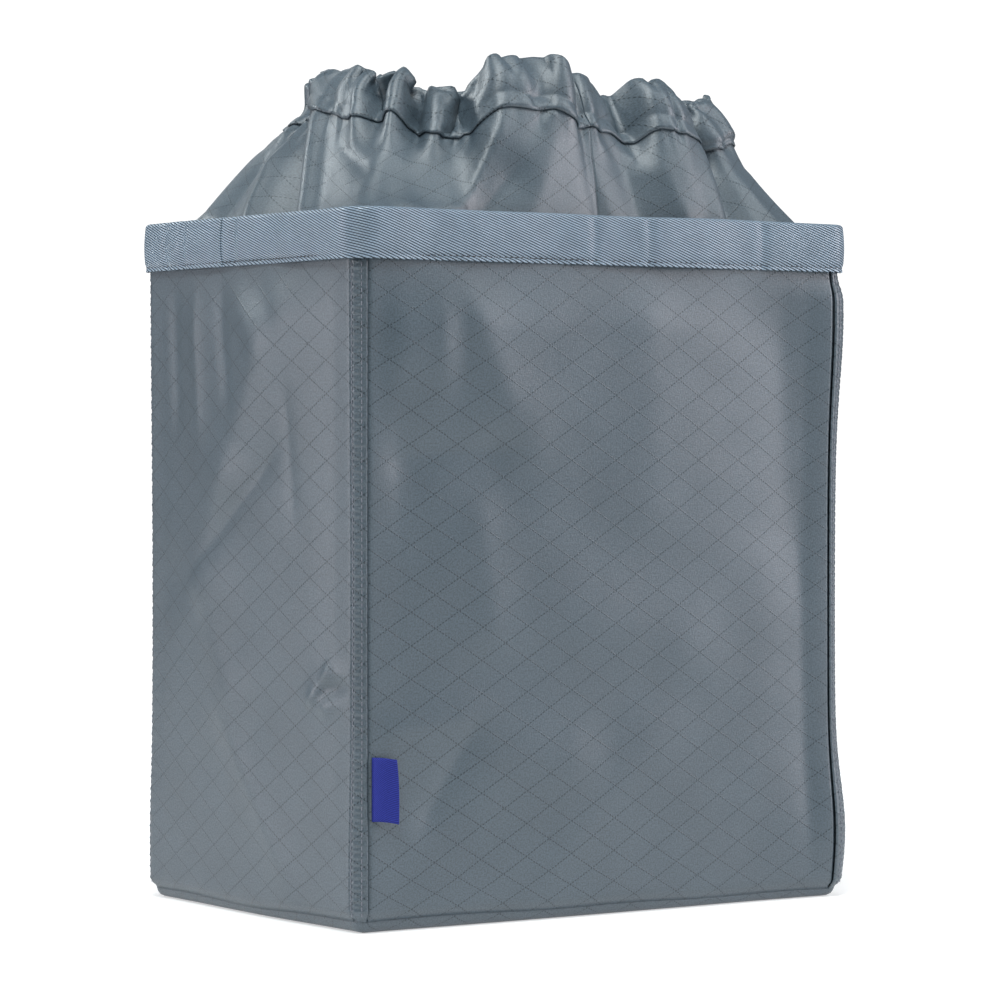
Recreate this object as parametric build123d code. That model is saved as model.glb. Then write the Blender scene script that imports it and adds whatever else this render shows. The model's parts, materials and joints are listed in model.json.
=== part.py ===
"""Square laundry bag of ripstop cloth, with a webbing-bound rim and a gathered collar.

Millimetres, +Z up. The origin is the centre of the footprint, on the floor.
The front panel faces -Y and the left panel faces -X.
Offsets are measured outwards from the outer face of the wall cloth.
"""

from build123d import *
from math import degrees
import os

# Driving dimensions of the box
WIDTH = 306.0
DEPTH = 210.0
RIM_TOP = 355.0
CORNER = 10.0

# Cloth walls
CLOTH = 1.0
BASE = 3.0
BASE_EDGE = 2.5
WALL_TOP = RIM_TOP - 2.0

# Lapped corner seams, with two rows of stitches
SEAM_LAP = 0.6
SEAM_ROWS = (6.0, 11.5)
THREAD = 0.4
THREAD_WIDTH = 0.6
ROW_LOW = 6.0

# Tape that binds the cut edges of the bottom seam, inside
BINDING = 1.5
BINDING_HEIGHT = 8.0

# Webbing folded over the rim, in four lengths with one corner each
WEB = 1.5
WEB_HEIGHT = 25.0
WEB_FOLD = 1.2
LEAF_OUT = 0.9
LEAF_IN = -CLOTH - 0.3
WEB_LOW = RIM_TOP - WEB_HEIGHT
RIM_ROW = WEB_LOW + 2.0
JOIN = 20.0

# Gathered collar: a skirt that leans inwards to a hem channel round an elastic cord
SKIRT = 0.8
SKIRT_STRAIGHT = 8.0
SKIRT_TOP_HALF = (111.5, 75.5)
COLLAR_CORNER = 60.0
COLLAR_SHIFT = 8.0
CHANNEL_HALF = (112.0, 76.0)
CHANNEL_LOW = 405.0
CHANNEL_HEIGHT = 31.0
CHANNEL_THICK = 9.0
CHANNEL_CLOTH = 1.0
CHANNEL_EDGE = 2.4
HEM_ROW = CHANNEL_LOW + 4.5
ELASTIC = 4.0
GAP = 0.3

# Folded ribbon flag sewn into the front left corner seam
FLAG_LENGTH = 14.5
FLAG_HEIGHT = 33.0
FLAG_LOW = 56.0
FLAG = 0.8
FLAG_ROOT = (-WIDTH / 2 + CORNER, -DEPTH / 2 - SEAM_LAP - 0.8)

UP = (Align.CENTER, Align.CENTER, Align.MIN)
SIDES = {"front_left": (-1, -1), "front_right": (1, -1), "back_right": (1, 1), "back_left": (-1, 1)}


def block(x, y, z):
    """Box between two limits along each axis."""
    size = (x[1] - x[0], y[1] - y[0], z[1] - z[0])
    return Pos((x[0] + x[1]) / 2, (y[0] + y[1]) / 2, z[0]) * Box(*size, align=UP)


def outline(offset, z):
    """Face with the plan of the walls, at an offset from their outer face."""
    face = RectangleRounded(WIDTH + 2 * offset, DEPTH + 2 * offset, CORNER + offset)
    return Pos(0, 0, z) * face


def hoop(outer, inner, low, high):
    """Upright band that follows the walls between two offsets."""
    ring = outline(outer, low) - outline(inner, low)
    return extrude(ring, amount=high - low)


def collar_outline(inset, z):
    """Face with the plan of the hem channel, inset from its outer face."""
    size = [2 * (half - inset) for half in CHANNEL_HALF]
    return Pos(COLLAR_SHIFT, 0, z) * RectangleRounded(*size, COLLAR_CORNER - inset)


def collar_hoop(outer, inner, low, high):
    """Upright band that follows the hem channel between two insets."""
    ring = collar_outline(outer, low) - collar_outline(inner, low)
    return extrude(ring, amount=high - low)


def arc_band(inner, outer, start, sweep_angle, low, high):
    """Part of an upright tube about the Z axis, from one angle through another."""
    height = high - low
    full = Cylinder(outer, height, arc_size=sweep_angle, align=None)
    hole = Cylinder(inner, height, arc_size=sweep_angle, align=None)
    return Pos(0, 0, low) * Rot(0, 0, start) * (full - hole)


def wall(side):
    """Flat cloth panel between two corner seams."""
    across = WIDTH / 2 - CORNER
    along = DEPTH / 2 - CORNER
    if side in ("front", "back"):
        edge = DEPTH / 2
        y = (-edge, -edge + CLOTH) if side == "front" else (edge - CLOTH, edge)
        return block((-across, across), y, (BASE, WALL_TOP))
    edge = WIDTH / 2
    x = (-edge, -edge + CLOTH) if side == "left" else (edge - CLOTH, edge)
    return block(x, (-along, along), (BASE, WALL_TOP))


def bottom_panel():
    """Base cloth with the seam allowances under it, rounded at the floor."""
    plate = extrude(outline(0, 0), amount=BASE)
    return fillet(plate.edges().group_by(Axis.Z)[0], BASE_EDGE)


def at_corner(shape, sx, sy):
    """A shape made for the corner at +X +Y, mirrored and moved to any corner."""
    if sx < 0:
        shape = mirror(shape, Plane.YZ)
    if sy < 0:
        shape = mirror(shape, Plane.XZ)
    return Pos(sx * (WIDTH / 2 - CORNER), sy * (DEPTH / 2 - CORNER), 0) * shape


def corner_seam():
    """Side panel's turned edge lapped round the corner over the front or back panel."""
    return arc_band(CORNER - CLOTH, CORNER + SEAM_LAP, 0, 90, BASE, WALL_TOP)


def corner_thread():
    """Two rows of thread on the lap, counted from its edge on the front or back."""
    face = CORNER + SEAM_LAP
    half = THREAD_WIDTH / 2
    rows = []
    for row in SEAM_ROWS:
        start = 90 - degrees((row + half) / face)
        sweep_angle = degrees(THREAD_WIDTH / face)
        rows.append(arc_band(face, face + THREAD, start, sweep_angle, ROW_LOW, WEB_LOW - 1))
    return Compound(children=rows)


def rim_band():
    """Webbing folded lengthwise over the top edge of the walls."""
    outer = hoop(LEAF_OUT + WEB, LEAF_OUT, WEB_LOW, RIM_TOP)
    inner = hoop(LEAF_IN, LEAF_IN - WEB, WEB_LOW, RIM_TOP)
    fold = hoop(LEAF_OUT + WEB, LEAF_IN - WEB, RIM_TOP - WEB, RIM_TOP)
    band = outer + inner + fold
    return fillet(band.edges().group_by(Axis.Z)[-1], WEB_FOLD)


def rim_lengths():
    """The four lengths of webbing, each with a butted join part-way along two sides."""
    band = rim_band()
    far = WIDTH
    z = (0, 2 * RIM_TOP)
    zones = {
        "front_left": ((-far, JOIN), (-far, JOIN)),
        "front_right": ((JOIN, far), (-far, -JOIN)),
        "back_right": ((-JOIN, far), (-JOIN, far)),
        "back_left": ((-far, -JOIN), (JOIN, far)),
    }
    return {name: band & block(x, y, z) for name, (x, y) in zones.items()}


def skirt():
    """Collar cloth: sewn inside the rim, then drawn in to the width of the channel."""
    outer = LEAF_IN - WEB
    inner = outer - SKIRT
    lean_low = WEB_LOW + SKIRT_STRAIGHT
    lean_high = CHANNEL_LOW - GAP
    solids = []
    for offset, inset in ((outer, 0), (inner, SKIRT)):
        top = [2 * (half - inset) for half in SKIRT_TOP_HALF]
        mouth = Pos(COLLAR_SHIFT, 0, lean_high) * RectangleRounded(*top, COLLAR_CORNER - inset)
        funnel = loft([outline(offset, lean_low), mouth], ruled=True)
        straight = extrude(outline(offset, WEB_LOW), amount=SKIRT_STRAIGHT)
        solids.append(straight + funnel)
    return solids[0] - solids[1]


def hem_channel():
    """Folded tube of cloth round the mouth, hollow for the elastic cord."""
    top = CHANNEL_LOW + CHANNEL_HEIGHT
    tube = collar_hoop(0, CHANNEL_THICK, CHANNEL_LOW, top)
    layers = tube.edges().group_by(Axis.Z)
    tube = fillet(layers[0] + layers[-1], CHANNEL_EDGE)
    inner = CHANNEL_THICK - CHANNEL_CLOTH
    hollow = collar_hoop(CHANNEL_CLOTH, inner, CHANNEL_LOW + CHANNEL_CLOTH, top - CHANNEL_CLOTH)
    return tube - hollow


def elastic_cord():
    """Closed loop of round elastic that lies against the channel's inner wall."""
    inset = CHANNEL_THICK - CHANNEL_CLOTH - ELASTIC / 2 - 0.05
    path = collar_outline(inset, CHANNEL_LOW + CHANNEL_HEIGHT / 2).wire()
    section = Plane(origin=path @ 0, z_dir=path % 0) * Circle(ELASTIC / 2)
    return sweep(section, path=path)


def flag():
    """Ribbon flag that lies flat over the front panel."""
    x, y = FLAG_ROOT
    depth = (y - FLAG / 2, y + FLAG / 2)
    solid = block((x + FLAG, x + FLAG_LENGTH), depth, (FLAG_LOW, FLAG_LOW + FLAG_HEIGHT))
    return fillet(solid.edges().filter_by(Axis.Z), FLAG * 0.4)


def halves(shape, name):
    """Left and right halves of a ring, met at the front and back seams."""
    far = WIDTH
    z = (0, 2 * RIM_TOP)
    left = shape & block((-far, 0), (-far, far), z)
    right = shape & block((0, far), (-far, far), z)
    return {f"{name}_left": left, f"{name}_right": right}


def build():
    """Every piece of the bag by name."""
    pieces = {"bottom_panel": bottom_panel()}
    for side in ("front", "back", "left", "right"):
        pieces[f"{side}_panel"] = wall(side)
    for name, (sx, sy) in SIDES.items():
        pieces[f"corner_seam_{name}"] = at_corner(corner_seam(), sx, sy)
        pieces[f"corner_thread_{name}"] = at_corner(corner_thread(), sx, sy)
    pieces["bottom_seam_binding"] = hoop(-CLOTH, -CLOTH - BINDING, BASE, BASE + BINDING_HEIGHT)
    for name, length in rim_lengths().items():
        pieces[f"rim_webbing_{name}"] = length
    face = LEAF_OUT + WEB
    half = THREAD_WIDTH / 2
    pieces["rim_thread"] = hoop(face + THREAD, face, RIM_ROW - half, RIM_ROW + half)
    pieces.update(halves(skirt(), "skirt"))
    pieces.update(halves(hem_channel(), "hem_channel"))
    pieces["hem_thread"] = collar_hoop(-THREAD, 0, HEM_ROW - half, HEM_ROW + half)
    pieces["elastic_cord"] = elastic_cord()
    pieces["side_flag"] = flag()
    return pieces


os.makedirs("parts", exist_ok=True)
for node, shape in build().items():
    export_step(shape, f"parts/{node}.step")
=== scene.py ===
"""Looks of a square ripstop laundry bag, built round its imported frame.

Lengths are in metres. The front panel faces -Y and the left panel faces -X.
"""
import json
from math import cos, pi, radians, sin

import bmesh
import bpy
import numpy as np
from mathutils import Matrix, Vector


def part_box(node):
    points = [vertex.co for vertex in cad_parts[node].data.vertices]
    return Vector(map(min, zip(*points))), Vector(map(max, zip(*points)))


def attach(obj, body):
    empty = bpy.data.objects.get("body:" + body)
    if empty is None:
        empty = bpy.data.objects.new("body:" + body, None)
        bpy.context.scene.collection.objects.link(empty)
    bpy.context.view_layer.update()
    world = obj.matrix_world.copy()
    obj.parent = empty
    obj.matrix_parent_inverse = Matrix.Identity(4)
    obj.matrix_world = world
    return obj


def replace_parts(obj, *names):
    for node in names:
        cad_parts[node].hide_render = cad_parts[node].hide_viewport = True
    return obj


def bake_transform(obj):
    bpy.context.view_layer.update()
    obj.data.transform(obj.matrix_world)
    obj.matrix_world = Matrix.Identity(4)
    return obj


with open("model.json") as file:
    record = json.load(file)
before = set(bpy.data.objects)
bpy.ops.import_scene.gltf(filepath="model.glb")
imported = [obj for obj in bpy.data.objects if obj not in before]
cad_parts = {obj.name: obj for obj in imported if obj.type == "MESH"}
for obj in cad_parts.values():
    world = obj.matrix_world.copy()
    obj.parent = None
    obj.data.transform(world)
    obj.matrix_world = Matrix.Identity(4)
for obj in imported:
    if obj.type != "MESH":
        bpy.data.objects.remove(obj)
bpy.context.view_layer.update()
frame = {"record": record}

MM = 0.001
MATERIAL_SLOTS = {m["slot"]: m for m in frame["record"]["materials"]}

# Sizes read from the frame
WALL_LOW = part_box("front_panel")[0].z
HALF_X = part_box("right_panel")[1].x
HALF_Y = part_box("back_panel")[1].y
CORNER = HALF_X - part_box("front_panel")[1].x
WEB_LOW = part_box("rim_webbing_front_left")[0].z
RIM_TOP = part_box("rim_webbing_front_left")[1].z
WEB_OUT = -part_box("rim_webbing_front_left")[0].x - HALF_X
FRONT_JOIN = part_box("rim_webbing_front_left")[1].x
LEFT_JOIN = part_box("rim_webbing_front_left")[1].y
FLAG_LOW, FLAG_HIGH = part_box("side_flag")

SIDES = ("front", "right", "back", "left")
SEAM_ARCS = (0.05, 0.35, 0.35, 0.35)    # angle from the front or back face to the lap, at each side's end
SEAM_ROWS = (3.0 * MM, 8.6 * MM)
SEAM_WIDTH = 10.4 * MM
SEAM_LIFT = dict(zip(SEAM_ROWS, (0.26 * MM, 0.02 * MM)))      # height of each row of stitches
STITCH = 3.2 * MM
STITCH_LONG, STITCH_WIDE = 0.8 * STITCH, 0.5 * MM
PANEL_TOP = WEB_LOW + 12 * MM
PANEL_STEP = 2.2 * MM           # size of a panel's quads
GRID_SHIFT = 37 * MM            # how far the diamond grid moves along from one side to the next
PANEL_CLOTH, SKIRT_CLOTH, CHANNEL_CLOTH, LAPPED_CLOTH = 0.50 * MM, 0.45 * MM, 0.35 * MM, 0.90 * MM


# ------------ small tools

CREST = 0.22                    # roundness of a fold's crest, as a share of its width


def smooth(x, low, high):
    """0 below low, 1 above high, smooth between."""
    t = np.clip((x - low) / (high - low), 0, 1)
    return t * t * (3 - 2 * t)


def bell(x, width):
    return np.exp(-(x / width) ** 2)


def ripple(x, z, seed, scale, count=7):
    """Smooth repeatable noise from a few plane waves, about -1 to 1."""
    rng = np.random.default_rng(seed)
    total = np.zeros(np.broadcast(x, z).shape)
    for _ in range(count):
        angle = rng.uniform(0, pi)
        length = scale * rng.uniform(0.6, 1.7)
        phase = rng.uniform(0, 2 * pi)
        along = x * np.cos(angle) + z * np.sin(angle)
        total += np.sin(2 * pi * along / length + phase)
    return total / count ** 0.5 * 0.7


def from_line(x, z, start, end):
    """Distance from a line, and a weight that fades past its two ends."""
    a, b = np.array(start) * MM, np.array(end) * MM
    d = b - a
    length = np.hypot(*d)
    t = ((x - a[0]) * d[0] + (z - a[1]) * d[1]) / length ** 2
    off = ((x - a[0]) * d[1] - (z - a[1]) * d[0]) / length
    return off, smooth(t, -0.25, 0.2) * (1 - smooth(t, 0.8, 1.25))


def crease(x, z, start, end, width, height):
    """Soft ridge (or valley, with a negative height) along a line that fades at its ends."""
    off, ends = from_line(x, z, start, end)
    return height * MM * bell(off, width * MM) * ends


def fold(x, z, start, end, width, height):
    """Two broad planes that meet along a line, crisp at the crest and soft at the foot."""
    off, ends = from_line(x, z, start, end)
    return height * MM * np.exp(CREST - np.hypot(off / (width * MM), CREST)) * ends


def unit(vectors):
    return vectors / np.maximum(np.linalg.norm(vectors, axis=-1, keepdims=True), 1e-12)


def new_object(name, data, material=None):
    obj = bpy.data.objects.new(name, data)
    bpy.context.scene.collection.objects.link(obj)
    if material:
        data.materials.append(material)
    return obj


def mesh_from(name, points, faces, material, uv=None):
    """Smooth-shaded mesh of quads. uv holds one pair for each corner of each face."""
    mesh = bpy.data.meshes.new(name)
    mesh.from_pydata(points.tolist(), [], faces.tolist(), shade_flat=False)
    if uv is not None:
        layer = mesh.uv_layers.new(name="cloth")
        layer.data.foreach_set("uv", np.asarray(uv, np.float32).ravel())
    mesh.validate()
    return new_object(name, mesh, material)


def quads_of(rows, cols, closed):
    """Rows, columns and next columns of a grid's quads, and the numbers of their corners."""
    r, c = np.meshgrid(np.arange(rows - 1), np.arange(cols if closed else cols - 1), indexing="ij")
    n = (c + 1) % cols
    quads = np.stack([r * cols + c, r * cols + n, (r + 1) * cols + n, (r + 1) * cols + c], -1)
    return r, c, n, quads.reshape(-1, 4)


def grid(name, points, uv, material, closed=False):
    """Sheet from a rows x columns grid of points, or a tube if its columns close up."""
    r, c, n, quads = quads_of(*points.shape[:2], closed)
    corners = np.stack([uv[r, c], uv[r, n], uv[r + 1, n], uv[r + 1, c]], 2)
    return mesh_from(name, points.reshape(-1, 3), quads, material, corners)


def thicken(obj, thickness, offset=-1.0):
    """Gives a sheet its thickness, inwards from the modelled face."""
    mod = obj.modifiers.new("thickness", "SOLIDIFY")
    mod.thickness = thickness
    mod.offset = offset
    return obj


# ------------ shape of the box

HALVES = (HALF_X, HALF_Y)
DIRECTIONS = {"front": (1.0, 0.0), "right": (0.0, 1.0), "back": (-1.0, 0.0), "left": (0.0, -1.0)}


def half_sizes(side, halves=HALVES):
    """Half a side's length, and half the depth behind it."""
    return halves if side in ("front", "back") else halves[::-1]


def side_length(side, halves, corner):
    return 2 * (half_sizes(side, halves)[0] - corner) + corner * pi / 2


def plan(side, u, halves=HALVES, corner=CORNER):
    """Plan points and outward normals at distance u round a rounded box from a side's middle."""
    t = np.array(DIRECTIONS[side])
    n = np.array([t[1], -t[0]])
    half, depth = half_sizes(side, halves)
    flat = half - corner
    angle = np.maximum(np.abs(u) - flat, 0) / corner
    sign = np.sign(u)
    along = np.where(angle > 0, sign * (flat + corner * np.sin(angle)), u)
    deep = depth - corner + corner * np.cos(angle)
    normal = (sign * np.sin(angle))[..., None] * t + np.cos(angle)[..., None] * n
    return along[..., None] * t + deep[..., None] * n, normal


def around(s, out=0.0, halves=HALVES, corner=CORNER):
    """Plan points and normals at distance s round a rounded box, counterclockwise from the front middle."""
    lengths = [side_length(side, halves, corner) for side in SIDES]
    s = (np.asarray(s, float) + lengths[0] / 2) % sum(lengths)
    points, normals = np.zeros(s.shape + (2,)), np.zeros(s.shape + (2,))
    start = 0.0
    for side, length in zip(SIDES, lengths):
        here = (s >= start) & (s < start + length)
        points[here], normals[here] = plan(side, s[here] - start - length / 2, halves, corner)
        start += length
    return points + normals * np.asarray(out)[..., None], normals


LENGTHS = [side_length(side, HALVES, CORNER) for side in SIDES]
ROUND = sum(LENGTHS)


def along(side, u):
    """Cloth distance from the front middle of the point at u on a side."""
    i = SIDES.index(side)
    return sum(LENGTHS[:i]) + LENGTHS[i] / 2 + u - LENGTHS[0] / 2


def from_place(s, place):
    """Shortest cloth distance round the box from a place to s."""
    return (s - place + ROUND / 2) % ROUND - ROUND / 2


def swell(x, crest, half, height):
    """One broad outward curve with its crest off the middle, nothing at either end."""
    t = np.where(x < crest, (x - crest) / (half + crest), (x - crest) / (half - crest))
    return height * MM * (1 - t ** 2) * (np.abs(t) < 1)


FRONT_DENTS = (
    (fold, (-100, 340), (-58, 238), 28, 4.2),
    (fold, (-134, 230), (-62, 237), 17, -2.8),
    (crease, (-136, 288), (-100, 288), 24, 2.4),
    (fold, (-82, 206), (-74, 140), 22, 2.0),
    (fold, (20, 352), (26, 200), 36, 2.0),
    (fold, (110, 352), (116, 190), 30, -3.8),
    (fold, (124, 190), (130, 30), 14, -2.6),
    (fold, (-144, 98), (-84, 104), 11, 2.0),
    (fold, (-84, 100), (-114, 52), 9, -2.0),
    (fold, (-84, 86), (-16, 78), 24, 2.0),
    (fold, (-34, 28), (34, 96), 20, 1.6),
    (crease, (-40, 160), (60, 130), 24, 1.5),
)
LEFT_DENTS = (                  # a bent ridge, small folds below the webbing, and a wrinkle by the near seam
    (fold, (-50, 338), (12, 226), 28, 4.2),
    (fold, (10, 230), (42, 168), 26, 4.0),
    (fold, (42, 170), (4, 104), 26, 3.6),
    (fold, (16, 98), (-42, 22), 14, 2.4),
    (fold, (-30, 232), (44, 176), 8, -2.6),
    (fold, (50, 328), (40, 246), 7, 1.7),
    (crease, (72, 322), (66, 250), 6, -1.2),
    (crease, (24, 326), (10, 262), 6, -1.1),
    (crease, (10, 322), (-22, 286), 8, 1.2),
    (crease, (-12, 326), (-34, 300), 7, -1.0),
    (fold, (-44, 262), (-50, 205), 5, -0.9),
    (fold, (-64, 111), (-80, 127), 4.2, 2.9),
    (fold, (-79, 127), (-98, 125), 4.4, 3.0),
    (fold, (-72, 119), (-94, 120), 3.6, -2.9),
    (fold, (-74, 109), (-96, 113), 4.2, 2.3),
)
DENTED = {                      # crest, half width and height of the panel's curve, then its dents
    "front": (-10 * MM, 128 * MM, 2.8, FRONT_DENTS),
    "left": (-16 * MM, 84 * MM, 3.0, LEFT_DENTS),
}


def dented(side, x, z):
    """A panel's broad curve, with its folds pressed in."""
    crest, reach, height, dents = DENTED[side]
    d = swell(x, crest, reach, height) * (0.55 + 0.45 * smooth(z, 0.02, 0.12))
    for shape, *line in dents:
        d = d + shape(x, z, *line)
    return d


FOOT_FLARE, TOP_FLARE = 35 * MM, 305 * MM        # heights where the corners lean out most


def bulge(side, u, z):
    """Outward offset of the cloth from the plain box, in metres."""
    half = half_sizes(side)[0]
    if side in DENTED:
        d = dented(side, u if side == "front" else -u, z)
    else:
        d = swell(u, 0.0, half, 4.0) + 2.2 * MM * ripple(u, z, len(side), 0.14)
    d = d + 0.14 * MM * ripple(u, z, 11 + len(side), 0.035)
    # Folds fade out near the corners and where the webbing grips the cloth
    fade = 1 - smooth(np.abs(u), half - 2.8 * CORNER, half - 0.4 * CORNER)
    d = d * fade * (1 - smooth(z, WEB_LOW - 34 * MM, WEB_LOW + 4 * MM))
    # The foot and the top lean out, most at the front right corner
    open_end = smooth({"front": u, "right": -u}.get(side, u * 0), 0, half)
    flare = (0.9 + 4.1 * open_end) * MM * bell(z - FOOT_FLARE, 35 * MM)
    below_web = 1 - smooth(z, WEB_LOW - 15 * MM, WEB_LOW)
    flare += 3.6 * MM * open_end * bell(z - TOP_FLARE, 45 * MM) * below_web
    flare *= smooth(np.abs(u), half * 0.55, half)
    # The corners draw in at half height, and the bottom seam tucks the edge under
    pull = -1.2 * MM * bell(z - 160 * MM, 130 * MM) * smooth(np.abs(u), half * 0.6, half)
    tuck = -3.4 * MM * (1 - smooth(z, WALL_LOW, WALL_LOW + 7 * MM)) ** 2
    # Small puckers run beside the corner seams
    beat = np.sin(2 * pi * z / (2.2 * STITCH) + 3.0 * ripple(0, z, 5 + len(side), 0.05))
    size = (0.12 if side == "left" else 0.048) * MM
    puckers = size * beat * smooth(np.abs(u), half - 1.9 * CORNER, half - 0.9 * CORNER)
    return d + flare + pull + tuck + puckers


def edge_rise(side, u):
    """How far the wall's lower edge rides above its plain height, most at the near corner."""
    s = along(side, u)
    near = from_place(s, -LENGTHS[0] / 2)
    return (1.5 + 1.9 * bell(near - 30 * MM, 80 * MM) + 0.8 * ripple(s, 0, 51, 0.12)) * MM


def wall_points(side, u, z, out=0.0):
    """Points of the wall cloth, raised by out along the normal."""
    flat, normal = plan(side, u)
    offset = bulge(side, u, z) + out
    points = np.empty(u.shape + (3,))
    points[..., :2] = flat + normal * offset[..., None]
    points[..., 2] = z + edge_rise(side, u) * (1 - smooth(z, WALL_LOW, WALL_LOW + 0.025))
    return points


def seam_edge(side, end):
    """Cloth distance from a side's middle to the edge of the lapped seam at its end, -1 or 1."""
    arc = SEAM_ARCS[SIDES.index(side) - (end < 0)]
    angle = arc if side in ("front", "back") else pi / 2 - arc
    return half_sizes(side)[0] - CORNER + angle * CORNER


def panel_ends(side):
    """Cloth distances from a side's middle to the two ends of its panel."""
    under = SEAM_WIDTH - 0.6 * MM if side in ("left", "right") else 0.0
    return seam_edge(side, -1) - under, seam_edge(side, 1) - under


# ------------ materials

class Nodes:
    """Short way to write a material's node tree."""

    def __init__(self, name, base, roughness, gloss=0.5):
        self.material = bpy.data.materials.new(name)
        self.material.use_nodes = True
        self.tree = self.material.node_tree
        self.shader = self.tree.nodes["Principled BSDF"]
        self.set("Base Color", (*base, 1))
        self.set("Roughness", roughness)
        self.set("Specular IOR Level", gloss)

    def add(self, kind, inputs=(), **settings):
        """A node with its settings, then (name or number, value) pairs put into its inputs."""
        node = self.tree.nodes.new("ShaderNode" + kind)
        for key, value in settings.items():
            setattr(node, key, value)
        for key, value in inputs:
            self.put(node.inputs[key], value)
        return node

    def put(self, socket, value):
        if isinstance(value, bpy.types.NodeSocket):
            self.tree.links.new(value, socket)
        else:
            socket.default_value = value

    def set(self, name, value):
        self.put(self.shader.inputs[name], value)

    def math(self, operation, *values):
        return self.add("Math", enumerate(values), operation=operation).outputs[0]

    def cloth_axes(self):
        uv = self.add("UVMap", uv_map="cloth").outputs[0]
        axes = self.add("SeparateXYZ", [(0, uv)])
        return uv, axes.outputs[0], axes.outputs[1]

    def noise(self, vector, scale, detail=2.0, stretch=(1, 1, 1)):
        mapping = self.add("Mapping", [("Vector", vector), ("Scale", stretch)])
        inputs = [("Vector", mapping.outputs[0]), ("Scale", scale), ("Detail", detail)]
        return self.add("TexNoise", inputs).outputs["Fac"]

    def ramp(self, value, low, high, out_low=0.0, out_high=1.0):
        inputs = enumerate((value, low, high, out_low, out_high))
        return self.add("MapRange", inputs, interpolation_type="SMOOTHSTEP").outputs[0]

    def mix(self, factor, a, b):
        inputs = [("Factor", factor), ("A", a), ("B", b)]
        return self.add("Mix", inputs, data_type="RGBA").outputs["Result"]

    def bump(self, height, distance, strength=1.0, below=None):
        inputs = [("Strength", strength), ("Distance", distance), ("Height", height)]
        if below:
            inputs.append(("Normal", below))
        node = self.add("Bump", inputs)
        self.set("Normal", node.outputs[0])
        return node.outputs[0]


def tone(colour, gain):
    return (*[c * gain for c in colour], 1)


# How the woven cloths differ from their slots' plain colours
RIPSTOP_DYE, WEBBING_DYE = (0.43, 0.515, 0.585), (0.98, 1.03, 1.11)
DIAMOND_WIDE, DIAMOND_HIGH, DOT_PITCH = 27.0 * MM, 16.5 * MM, 1.6 * MM
TWILL_ALONG, TWILL_UP, TWILL_YARN = 3.7 * MM, 1.32 * MM, 1.25 * MM


def dyed(slot, dye):
    return [c * d for c, d in zip(MATERIAL_SLOTS[slot]["base_color"], dye)]


def ripstop_material():
    """Plain-weave ripstop: dotted diamond grid, woven grain, faint mottling."""
    base = dyed("ripstop", RIPSTOP_DYE)
    m = Nodes("ripstop", base, 0.42, 0.75)
    uv, u, v = m.cloth_axes()
    a, b = m.math("DIVIDE", u, DIAMOND_WIDE), m.math("DIVIDE", v, DIAMOND_HIGH)
    lines = []
    for operation in ("ADD", "SUBTRACT"):
        place = m.math("FRACT", m.math("ADD", m.math(operation, a, b), 100.5))
        gap = m.math("ABSOLUTE", m.math("SUBTRACT", place, 0.5))
        lines.append(m.ramp(gap, 0.011, 0.030, 1.0, 0.0))
    grid_line = m.math("MAXIMUM", *lines)
    dots = m.math("SINE", m.math("MULTIPLY", u, 2 * pi / DOT_PITCH))
    dotted = m.math("MULTIPLY", grid_line, m.ramp(dots, -0.7, 0.4, 0.15, 1.0))
    weft = m.noise(uv, 2600, 2, (0.15, 1, 1))
    warp = m.noise(uv, 2600, 2, (1, 0.15, 1))
    threads = m.math("ADD", weft, warp)
    grain = m.noise(uv, 1100, 2)
    mottle = m.noise(uv, 26, 3)
    cloth = m.mix(m.ramp(mottle, 0.3, 0.7), tone(base, 0.95), tone(base, 1.05))
    cloth = m.mix(m.ramp(grain, 0.3, 0.7), m.mix(0.42, cloth, (0, 0, 0, 1)), cloth)
    m.set("Base Color", m.mix(m.math("MULTIPLY", dotted, 0.8), cloth, tone(base, 0.28)))
    rough = m.ramp(threads, 0.6, 1.4, 0.47, 0.38)
    m.set("Roughness", m.math("SUBTRACT", rough, m.math("MULTIPLY", dotted, 0.12)))
    m.set("Specular IOR Level", m.ramp(dotted, 0.2, 1.0, 0.75, 0.4))
    fine = m.bump(threads, 0.12 * MM, 0.7)
    m.bump(dotted, 0.10 * MM, 0.6, fine)
    return m.material


def webbing_material():
    """Twill webbing: the same diagonal ridges as the mesh, with painted shade darkening the valleys and the
    gaps between the dotted yarns.
    """
    base = dyed("webbing", WEBBING_DYE)
    m = Nodes("webbing", base, 0.36, 0.8)
    uv, u, v = m.cloth_axes()
    phase = m.math("ADD", m.math("DIVIDE", u, TWILL_ALONG), m.math("DIVIDE", v, TWILL_UP))
    ridge = m.math("ABSOLUTE", m.math("SINE", m.math("MULTIPLY", phase, pi)))
    stagger = m.math("MULTIPLY", m.math("FLOOR", phase), 0.5)
    beat = m.math("ADD", m.math("DIVIDE", u, TWILL_YARN), stagger)
    yarn = m.math("SINE", m.math("MULTIPLY", beat, 2 * pi))
    body = m.math("MULTIPLY", m.ramp(ridge, 0.22, 0.80), m.ramp(yarn, -1.0, 0.3, 0.8, 1.0))
    slub = m.noise(uv, 90, 2)
    fuzz = m.noise(uv, 3000, 2, (0.4, 1, 1))
    cloth = m.mix(m.ramp(slub, 0.3, 0.7), tone(base, 0.94), tone(base, 1.06))
    cloth = m.mix(m.ramp(fuzz, 0.3, 0.7), m.mix(0.15, cloth, (0, 0, 0, 1)), cloth)
    # Painted shade: the colour drops almost to black in the twill valleys and between the yarns.
    m.set("Base Color", m.mix(body, tone(base, 0.05), cloth))
    m.set("Specular IOR Level", m.ramp(body, 0.1, 0.9, 0.1, 1.0))
    m.bump(m.math("MULTIPLY", body, m.ramp(fuzz, 0.2, 0.8, 0.8, 1.0)), 0.35 * MM, 0.8)
    return m.material


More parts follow.
